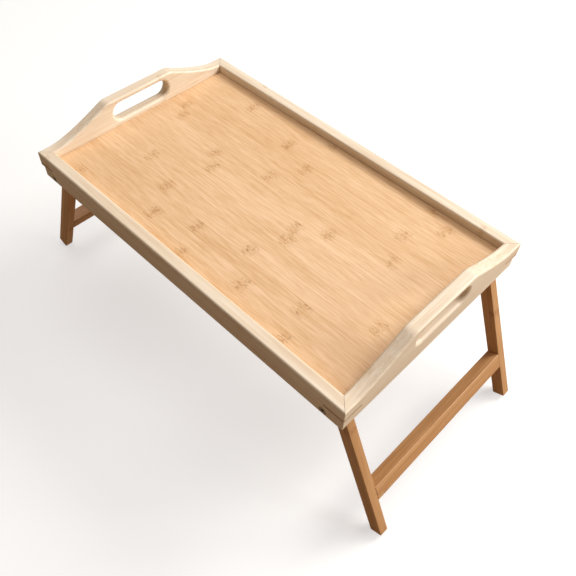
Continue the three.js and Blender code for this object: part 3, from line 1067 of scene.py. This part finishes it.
@dataclass
class Rail(Member):
    """A long rail with mitred ends, its top and bottom edges rounded."""

    counterbore: float = 4.7 * MM
    counterbore_depth: float = 3.4 * MM
    counterbore_rim: float = 0.35 * MM
    bore_steps: int = 48
    glue_line_in: float = 6 * MM

    def name(self) -> str:
        """The rail's node name."""
        return f"{self.side.name.lower()}_rail"

    def glue_line(self) -> float:
        """Where a glue line lies, out from the tray's middle."""
        return self.plan.half_width - self.glue_line_in

    def section(self) -> list[Point]:
        """The rail's rounded section.

        Returns:
            Its (y, z) points.
        """
        plan = self.plan
        inner, outer = plan.half_width - plan.thickness, plan.half_width
        inside = rounding(plan.ease, self.edge_steps)
        points = []
        points += [(outer - inset, plan.bottom + depth) for inset, depth in inside]
        points += [(outer - inset, plan.rail_top - depth) for inset, depth in reversed(inside)]
        points += [(inner + inset, plan.rail_top - depth) for inset, depth in inside]
        points += [(inner + inset, plan.bottom + depth) for inset, depth in reversed(inside)]
        return points

    def mesh(self) -> Mesh:
        """The rail, drawn on the back side of the tray.

        Returns:
            The mesh.
        """
        plan = self.plan
        setback = RUNNING_GAP / math.sqrt(2)
        reach = plan.half_length - plan.half_width - setback
        stock = skin([[Vector((end * (reach + y), y, z)) for y, z in self.section()] for end in (-1, 1)])
        tools = [(Boolean.KEEP, plan.rounded_plan()), (Boolean.CUT, plan.board_groove())]
        tools += [(Boolean.CUT, cutter) for cutter in plan.corner_cutters()]
        for end in (-1, 1):
            tools.append((Boolean.CUT, self.bolt_hole(end * plan.pivot_x)))
        return smoothed(worked(stock, tools))

    def bolt_hole(self, x: float) -> Mesh:
        """A bolt's bore and counterbore, with a softened rim, as the solid that would fill it.

        Args:
            x: Where the hole lies along the rail.

        Returns:
            The cutter.
        """
        rim = self.counterbore_rim
        profile = [
            (0, -self.plan.thickness - OVERRUN),
            (BOLT_BORE, -self.plan.thickness - OVERRUN),
            (BOLT_BORE, -self.counterbore_depth),
            (self.counterbore, -self.counterbore_depth),
            (self.counterbore, -rim),
            (self.counterbore + rim, 0),
            (self.counterbore + rim, OVERRUN),
            (0, OVERRUN),
        ]
        outwards = Matrix.Translation((x, self.plan.half_width, self.plan.pivot_z))
        return moved(turned(profile, self.bore_steps), outwards @ Matrix.Rotation(-math.pi / 2, 4, "X"))


@dataclass
class EndPanel(Member):
    """An end of the tray: it sweeps up to a level grip over a round-ended slot."""

    slot_length: float = 88 * MM
    slot_height: float = 24.2 * MM
    slot_rim: float = 4 * MM
    slot_above_board: float = 7.2 * MM
    grip_margin: float = 6.8 * MM
    shoulder: float = 5 * MM
    sweep_fullness: float = 0.716
    curve_steps: int = 24
    glue_line_in: float = 9 * MM

    def name(self) -> str:
        """The panel's node name."""
        return f"{self.side.name.lower()}_end_panel"

    def glue_line(self) -> float:
        """Where a glue line lies, out from the tray's middle."""
        return self.plan.half_length - self.glue_line_in

    def top_line(self) -> list[Vector]:
        """The top edge, from the sweep's start on the -X side to the same on the +X side.

        Returns:
            Its (x, z) points.
        """
        plan = self.plan
        broken = Vector((self.slot_length / 2 + self.grip_margin, plan.handle_top))
        start = Vector((plan.half_width - plan.thickness, plan.rail_top))
        control = Vector((broken.x + self.sweep_fullness * (start.x - broken.x), plan.rail_top))
        slope = (control - broken).normalized()
        sweep_end = broken + slope * self.shoulder
        level_end = Vector((broken.x - self.shoulder, plan.handle_top))
        half = self.curve(start, control, sweep_end, self.curve_steps)
        half += self.curve(sweep_end, broken, level_end, self.curve_steps // 3)[1:]
        mirrored = [Vector((-point.x, point.y)) for point in half]
        return mirrored + half[::-1]

    @staticmethod
    def curve(start: Vector, control: Vector, end: Vector, steps: int) -> list[Vector]:
        """Points along a quadratic curve."""
        shares = [step / steps for step in range(steps + 1)]
        return [start * (1 - t) ** 2 + control * 2 * t * (1 - t) + end * t**2 for t in shares]

    def ring(self, inset: float, y: float) -> Loop:
        """The panel's outline at one depth, drawn in by inset, its ends on the mitres.

        Args:
            inset: How far in from the panel's own outline.
            y: The depth.

        Returns:
            The loop.
        """
        plan = self.plan
        end = y - (plan.half_length - plan.half_width) - RUNNING_GAP / math.sqrt(2)
        top = self.top_line()
        points = [(-end, plan.bottom + inset), (-end, plan.rail_top - inset)]
        for index, point in enumerate(top):
            before, after = top[max(index - 1, 0)], top[min(index + 1, len(top) - 1)]
            along = (after - before).normalized()
            points.append((point.x + along.y * inset, point.y - along.x * inset))
        points += [(end, plan.rail_top - inset), (end, plan.bottom + inset)]
        return [Vector((x, y, z)) for x, z in points]

    def slot_ring(self, margin: float, y: float) -> Loop:
        """The slot's outline at one depth, enlarged by margin.

        Args:
            margin: How far out from the slot's own outline.
            y: The depth.

        Returns:
            The loop.
        """
        centre_z = self.plan.board_top + self.slot_above_board + self.slot_height / 2
        radius = self.slot_height / 2 + margin
        centre_x = self.slot_length / 2 - self.slot_height / 2
        points = []
        for side, start in ((1, -math.pi / 2), (-1, math.pi / 2)):
            for step in range(self.curve_steps + 1):
                angle = start + step / self.curve_steps * math.pi
                x = side * centre_x + radius * math.cos(angle)
                points.append(Vector((x, y, centre_z + radius * math.sin(angle))))
        return points

    def mesh(self) -> Mesh:
        """The panel, drawn with Y outwards.

        Returns:
            The mesh.
        """
        plan = self.plan
        inner, outer = plan.half_length - plan.thickness, plan.half_length
        edge = rounding(plan.ease, self.edge_steps)
        rim = rounding(self.slot_rim, self.edge_steps)
        outline = [self.ring(inset, inner + depth) for inset, depth in edge]
        outline += [self.ring(inset, outer - depth) for inset, depth in reversed(edge)]
        slot = [self.slot_ring(margin, inner + depth) for margin, depth in rim]
        slot += [self.slot_ring(margin, outer - depth) for margin, depth in reversed(rim)]
        quarter = Matrix.Rotation(math.pi / 2, 4, "Z")
        tools = [
            (Boolean.KEEP, moved(plan.rounded_plan(), quarter)),
            (Boolean.CUT, moved(plan.board_groove(), quarter)),
        ]
        tools += [(Boolean.CUT, moved(cutter, quarter.inverted())) for cutter in plan.corner_cutters()]
        return smoothed(worked(skin(outline, [slot]), tools))


@dataclass
class CornerKey:
    """A flat key glued in a corner's kerf, drawn from the corner with X across it and Y out through it."""

    plan: TrayPlan
    corner: str
    seed: float
    recess: float = 0.1 * MM

    def stand(self) -> Matrix:
        """The matrix that puts the key's frame at its corner.

        Returns:
            The matrix.
        """
        side_y = 1 if "back" in self.corner else -1
        side_x = 1 if "right" in self.corner else -1
        point = Matrix.Translation((side_x * self.plan.half_length, side_y * self.plan.half_width, 0))
        return point @ Matrix.Rotation(math.atan2(side_y, side_x) - math.pi / 2, 4, "Z")

    def mesh(self) -> Mesh:
        """The key, its point cut back where the corner is rounded.

        Returns:
            The mesh.
        """
        plan = self.plan
        point = plan.corner_rounding / math.sqrt(2)
        leg = (2 * plan.thickness - plan.key_web - RUNNING_GAP) / math.sqrt(2)
        back = self.recess * math.sqrt(2)
        outline = [(point, -point - back), (-point, -point - back), (-leg, -leg - back), (leg, -leg - back)]
        return prism(outline, plan.key_low + RUNNING_GAP / 2, plan.key_high - RUNNING_GAP / 2)

    def build(self, groups: Groups) -> None:
        """Makes the key and dresses it.

        Args:
            groups: The shared shader groups.
        """
        node = f"corner_key_{self.corner}"
        finish = KEY_BAMBOO.material(f"glued_{node}", groups, self.seed, (NO_GLUE_LINE, FAR_GLUE_LINE))
        place(node, self.mesh(), self.stand(), finish, "tray")


def dress(node: str, finish: Material) -> None:
    """Gives a frame node, whose own shape is right as it is, a better material.

    Args:
        node: The node.
        finish: The material.
    """
    materials = frame["nodes"][node].data.materials
    materials.clear()
    materials.append(finish)
    log.info("%s: dressed in %s", node, finish.name)


# Pivot hardware


@dataclass
class Pivot:
    """One pivot's bolt, washers and lock nut, drawn with Z outwards through the rail."""

    corner: str
    finish: Material
    shank: float = 2.5 * MM
    head: float = 4 * MM
    head_height: float = 2.4 * MM
    head_edge: float = 0.2 * MM
    head_dome: float = 0.9 * MM
    dome_steps: int = 6
    socket: float = 1.75 * MM
    socket_depth: float = 1.5 * MM
    tip_chamfer: float = 0.5 * MM
    washer_edge: float = 0.15 * MM
    nut_chamfer: float = 0.55 * MM
    chamfer_rise: float = 0.6  # of the chamfer's width
    collar: float = 3.7 * MM
    collar_height: float = 1.4 * MM
    collar_rounding: float = 0.7 * MM
    collar_steps: int = 5
    collar_overlap: float = 1 * MM

    def reach(self, node: str) -> tuple[float, float]:
        """How far in and out a node of this pivot reaches, from the tray's middle plane."""
        low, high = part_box(f"{node}_{self.corner}")
        return min(abs(low.y), abs(high.y)), max(abs(low.y), abs(high.y))

    def stand(self) -> Matrix:
        """The matrix that stands the pivot's Z outwards, with its zero on the tray's middle plane.

        Returns:
            The matrix.
        """
        low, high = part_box(f"pivot_bolt_{self.corner}")
        outwards = 1 if high.y > 0 else -1
        centre = Matrix.Translation(((low.x + high.x) / 2, 0, (low.z + high.z) / 2))
        return centre @ Matrix.Rotation(-outwards * math.pi / 2, 4, "X")

    def hexagon(self, radius: float, low: float, high: float) -> Mesh:
        """A six-sided prism, its radius measured to a corner."""
        turns = [turn * math.pi / 3 for turn in range(6)]
        return prism([(radius * math.cos(turn), radius * math.sin(turn)) for turn in turns], low, high)

    def bolt(self) -> Mesh:
        """A socket-head bolt.

        Returns:
            The mesh.
        """
        tip, top = self.reach("pivot_bolt")
        seat = top - self.head_height
        profile = [(0, tip), (self.shank - self.tip_chamfer, tip), (self.shank, tip + self.tip_chamfer)]
        profile += [(self.shank, seat), (self.head - self.head_edge, seat)]
        profile += [(self.head, seat + self.head_edge)]
        dome = rounding(self.head_dome, self.dome_steps)[::-1]
        profile += [(self.head - inset, top - depth) for inset, depth in dome] + [(0, top)]
        hole = self.hexagon(self.socket, top - self.socket_depth, top + OVERRUN)
        return smoothed(worked(turned(profile), [(Boolean.CUT, hole)]))

    def washer(self, node: str) -> Mesh:
        """A flat washer with broken edges.

        Args:
            node: The name of its kind.

        Returns:
            The mesh.
        """
        low, high = self.reach(node)
        box_low, box_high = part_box(f"{node}_{self.corner}")
        radius, edge = (box_high.z - box_low.z) / 2, self.washer_edge
        profile = [(BOLT_BORE, low), (radius - edge, low), (radius, low + edge), (radius, high - edge)]
        profile += [(radius - edge, high), (BOLT_BORE, high), (BOLT_BORE, low)]
        return smoothed(turned(profile))

    def nut(self) -> Mesh:
        """A lock nut: a hexagon with turned corners and a round collar on its inner side.

        Returns:
            The mesh.
        """
        low, high = self.reach("lock_nut")
        box_low, box_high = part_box(f"lock_nut_{self.corner}")
        corner = max(box_high.z - box_low.z, box_high.x - box_low.x) / 2
        shoulder = low + self.collar_height
        chamfer, rise = self.nut_chamfer, self.nut_chamfer * self.chamfer_rise
        turned_room = turned(
            [
                (0, shoulder),
                (corner - chamfer, shoulder),
                (corner, shoulder + rise),
                (corner, high - rise),
                (corner - chamfer, high),
                (0, high),
            ]
        )
        collar_top = shoulder + self.collar_overlap
        edge = rounding(self.collar_rounding, self.collar_steps)
        collar_edge = [(self.collar - inset, low + depth) for inset, depth in edge]
        collar = turned([(0, low), *collar_edge, (self.collar, collar_top), (0, collar_top)])
        bore = rod(BOLT_BORE, low - OVERRUN, high + OVERRUN)
        tools = [(Boolean.KEEP, turned_room), (Boolean.JOIN, collar), (Boolean.CUT, bore)]
        return smoothed(worked(self.hexagon(corner, shoulder, high), tools))

    def build(self) -> None:
        """Makes the pivot's pieces."""
        stand = self.stand()
        pieces = {
            "pivot_bolt": self.bolt(),
            "outer_washer": self.washer("outer_washer"),
            "inner_washer": self.washer("inner_washer"),
            "lock_nut": self.nut(),
        }
        for kind, mesh in pieces.items():
            place(f"{kind}_{self.corner}", mesh, stand, self.finish, "tray")


# The legs


@dataclass
class LegPair:
    """A folding pair: two legs and the bar between them, drawn with X down the legs from their pivot."""

    end: str
    seed: float
    width: float = 16 * MM
    splay: float = math.radians(24)
    ease: float = 1 * MM
    foot_corner: float = 0.8 * MM
    edge_steps: int = 4
    top_steps: int = 32
    leg_glue_line: float = 0.9 * MM
    bar_glue_line: float = 3.2 * MM
    # Painted shade: the crossbars' finish sits this far towards the deep colour, where the legs sit at the
    # middle, to paint the tray's shadow over them.
    bar_painted_shade: float = 0.8

    def direction(self) -> int:
        """1 for the right pair and -1 for the left."""
        return 1 if self.end == "right" else -1

    def stand(self) -> Matrix:
        """The matrix that puts the pair's frame at its pivot, with X down the legs.

        Returns:
            The matrix.
        """
        down = Vector((self.direction() * math.sin(self.splay), 0, -math.cos(self.splay)))
        out = Vector((self.direction() * math.cos(self.splay), 0, math.sin(self.splay)))
        columns = Matrix((down, out, down.cross(out))).transposed()
        return Matrix.Translation(pivot_point(f"{self.end}_leg_fold")) @ columns.to_4x4()

    def reach(self) -> float:
        """How far it is along the leg from the pivot to the foot.

        Returns:
            The distance.
        """
        _, _, height = pivot_point(f"{self.end}_leg_fold")
        low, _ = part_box(f"{self.end}_leg_front")
        return (height - low.z - self.width / 2 * math.sin(self.splay)) / math.cos(self.splay)

    def leg_outline(self, inset: float) -> list[Point]:
        """The leg's outline, with a round top and a square foot.

        Args:
            inset: How far it is drawn in.

        Returns:
            Its (x, y) points.
        """
        half, reach, corner = self.width / 2 - inset, self.reach() - inset, self.foot_corner
        points = []
        for step in range(self.top_steps + 1):
            angle = math.pi / 2 + step / self.top_steps * math.pi
            points.append((half * math.cos(angle), half * math.sin(angle)))
        points += [(reach - corner, -half), (reach, -half + corner)]
        points += [(reach, half - corner), (reach - corner, half)]
        return points

    def leg(self, side: str) -> Mesh:
        """The front or back leg, with its pivot bore.

        Args:
            side: Which of the two.

        Returns:
            The mesh.
        """
        low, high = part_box(f"{self.end}_leg_{side}")
        handed = self.stand().to_3x3().col[2].y
        near, far = sorted((low.y * handed, high.y * handed))
        edge = rounding(self.ease, self.edge_steps)
        rings = [(inset, near + depth) for inset, depth in edge]
        rings += [(inset, far - depth) for inset, depth in reversed(edge)]
        loops = [[Vector((x, y, z)) for x, y in self.leg_outline(inset)] for inset, z in rings]
        bore = rod(BOLT_BORE, near - OVERRUN, far + OVERRUN)
        return smoothed(worked(skin(loops), [(Boolean.CUT, bore)]))

    def crossbar(self) -> tuple[Mesh, Matrix]:
        """The bar between the legs, drawn with X along it.

        Returns:
            The mesh, and the matrix that puts it in its place.
        """
        node = f"{self.end}_crossbar"
        low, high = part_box(node)
        middle = (low + high) / 2
        stand = self.stand()
        along = (stand.inverted() @ middle).x
        run = (high.z - low.z - self.width * math.sin(self.splay)) / math.cos(self.splay)
        half_run, half_thick, half_length = run / 2, self.width / 2, (high.y - low.y) / 2
        edge = rounding(self.ease, self.edge_steps)
        corners = []
        for side_y, side_z, order in ((1, 1, 1), (-1, 1, -1), (-1, -1, 1), (1, -1, -1)):
            for inset, depth in edge[::order]:
                corners.append((side_y * (half_run - depth), side_z * (half_thick - inset)))
        loops = [[Vector((end * half_length, y, z)) for y, z in corners] for end in (-1, 1)]
        turn = Matrix(((0, 1, 0, 0), (0, 0, 1, 0), (1, 0, 0, 0), (0, 0, 0, 1)))
        return smoothed(skin(loops)), stand @ Matrix.Translation((along, 0, 0)) @ turn

    def build(self, groups: Groups) -> None:
        """Makes the pair and dresses it, dowels included.

        Args:
            groups: The shared shader groups.
        """
        body = f"{self.end}_legs"
        for index, side in enumerate(("front", "back")):
            node = f"{self.end}_leg_{side}"
            joints = (self.leg_glue_line, NO_GLUE_LINE)
            finish = LEG_BAMBOO.material(f"lacquered_{node}", groups, self.seed + index, joints)
            place(node, self.leg(side), self.stand(), finish, body)
        node = f"{self.end}_crossbar"
        joints = (self.bar_glue_line, NO_GLUE_LINE)
        name = f"lacquered_{node}"
        # The crossbar's darker finish is painted shade from the tray above it.
        finish = LEG_BAMBOO.material(name, groups, self.seed + 2, joints, shade=self.bar_painted_shade)
        mesh, stand = self.crossbar()
        place(node, mesh, stand, finish, body)
        joints = (NO_GLUE_LINE, NO_GLUE_LINE)
        name = f"turned_dowel_{self.end}"
        dowel = DOWEL_BAMBOO.material(name, groups, self.seed, joints, Grain.ALONG_Y)
        for side in ("front", "back"):
            for place_up in ("upper", "lower"):
                dress(f"{self.end}_dowel_{side}_{place_up}", dowel)


# The studio


@dataclass(frozen=True)
class Camera:
    """A camera a step back from the near corner, looking down across the tray."""

    position: tuple[float, float, float] = (0.3954, -0.3988, 0.7675)
    aim: tuple[float, float, float] = (0.0963, -0.0653, 0.2)
    roll: float = math.radians(2.99)
    lens: float = 41.19
    sensor: float = 36.0
    nearest: float = 0.01

    def build(self) -> None:
        """Makes the camera and hands it to the scene."""
        data = bpy.data.cameras.new("camera")
        data.lens = self.lens
        data.sensor_width = self.sensor
        data.clip_start = self.nearest
        camera = in_scene("camera", data)
        sight = (Vector(self.aim) - Vector(self.position)).to_track_quat("-Z", "Y").to_matrix().to_4x4()
        camera.matrix_world = Matrix.Translation(self.position) @ sight @ Matrix.Rotation(self.roll, 4, "Z")
        bpy.context.scene.camera = camera


@dataclass(frozen=True)
class SoftBox:
    """A square softbox that looks at the table."""

    name: str
    position: tuple[float, float, float]
    size: float
    power: float
    colour: Colour = WHITE
    aim: tuple[float, float, float] = (0.0, 0.0, 0.15)

    def build(self) -> None:
        """Makes the light."""
        data = bpy.data.lights.new(self.name, "AREA")
        data.shape = "SQUARE"
        data.size = self.size
        data.energy = self.power
        data.color = self.colour
        light = in_scene(self.name, data)
        light.location = self.position
        light.rotation_euler = (Vector(self.aim) - Vector(self.position)).to_track_quat("-Z", "Y").to_euler()
        light.visible_camera = False


@dataclass(frozen=True)
class Studio:
    """A pale floor, a pale surround and soft light from above and behind."""

    floor_size: float = 24.0
    floor_drop: float = 0.2 * MM  # below the feet
    floor_gloss: float = 0.85
    floor_smudge: float = 0.1
    floor_smudge_waves: float = 3.0
    floor_specular: float = 0.1
    floor_seen: Colour = (0.5, 0.5, 0.495)
    floor_lift: float = 0.55
    floor_bounce: Colour = (0.37, 0.265, 0.175)
    surround: Colour = (1.0, 0.76, 0.56)
    ambient: float = 0.22
    sky_seen: float = 0.98
    lights: tuple[SoftBox, ...] = (
        SoftBox("key", (0.8, 1.9, 1.9), 1.2, 63.0, (1.0, 0.98, 0.95)),
        SoftBox("overhead", (-0.4, 0.2, 2.2), 1.4, 15.0),
        SoftBox("side", (2.8, 1.7, 1.3), 1.4, 60.0, (0.95, 0.98, 1.0)),
    )

    def floor(self, groups: Groups) -> None:
        """Lays the floor. Its bounce is held back so that faces turned from the light stay dark.

        Args:
            groups: The shared shader groups.
        """
        half = self.floor_size / 2
        corners = [Vector((x, y, 0)) for x, y in ((-half, -half), (half, -half), (half, half), (-half, half))]
        data = bpy.data.meshes.new("floor")
        data.from_pydata(corners, [], [(0, 1, 2, 3)])
        material, sheet = new_material("pale_floor")
        handled = sheet.group(
            groups.handling,
            Vector=sheet.node("TexCoord").outputs["Object"],
            Gloss=self.floor_gloss,
            Wander=self.floor_smudge,
            Scale=self.floor_smudge_waves,
        )
        seen = sheet.node("LightPath").outputs["Is Camera Ray"]
        sheet.principled(
            Base_Color=sheet.blend(seen, self.floor_bounce, self.floor_seen),
            Roughness=handled.outputs["Roughness"],
            Emission_Color=sheet.blend(seen, BLACK, WHITE),
            Emission_Strength=self.floor_lift,
            Specular_IOR_Level=self.floor_specular,
        )
        data.materials.append(material)
        floor = in_scene("floor", data)
        floor.location.z = -self.floor_drop

    def sky(self) -> None:
        """Sets the surround: white where it is seen, and a low even light elsewhere."""
        world = bpy.data.worlds.new("surround")
        world.use_nodes = True
        sheet = Sheet(world.node_tree)
        seen = sheet.node("LightPath").outputs["Is Camera Ray"]
        strength = sheet.maths("MULTIPLY_ADD", seen, self.sky_seen - self.ambient, self.ambient)
        colour = sheet.blend(seen, self.surround, WHITE)
        background = sheet.fill(sheet.node("Background"), Color=colour, Strength=strength)
        sheet.fill(sheet.node("OutputWorld"), Surface=background.outputs[0])
        bpy.context.scene.world = world

    def build(self, groups: Groups) -> None:
        """Sets up the floor, the surround, the lights and the picture's tones.

        Args:
            groups: The shared shader groups.
        """
        self.floor(groups)
        self.sky()
        for light in self.lights:
            light.build()
        view = bpy.context.scene.view_settings
        view.view_transform = "Standard"
        view.look = "None"
        view.exposure = 0.0
        view.gamma = 1.0


def main() -> None:
    """Builds the table and the studio, and reports each piece."""
    logging.basicConfig(level=logging.INFO, format="%(name)s: %(message)s")
    groups = Groups()
    plan = TrayPlan()
    Camera().build()
    for seed, side in enumerate((Side.FRONT, Side.BACK)):
        Rail(plan, side, RAIL_SEED + seed).build(groups)
    for seed, side in enumerate((Side.LEFT, Side.RIGHT)):
        EndPanel(plan, side, PANEL_SEED + seed).build(groups)
    dress("base_board", BOARD_BAMBOO.material("lacquered_board", groups, BOARD_SEED, BOARD_GLUE_LINES))
    steel = STEEL.material("zinc_plate", groups)
    for seed, corner in enumerate(("front_left", "front_right", "back_right", "back_left")):
        CornerKey(plan, corner, KEY_SEED + seed).build(groups)
        Pivot(corner, steel).build()
    for seed, end in enumerate(("left", "right")):
        LegPair(end, LEG_SEED + SEEDS_PER_PAIR * seed).build(groups)
    Studio().build(groups)


if __name__ == "__main__":
    main()
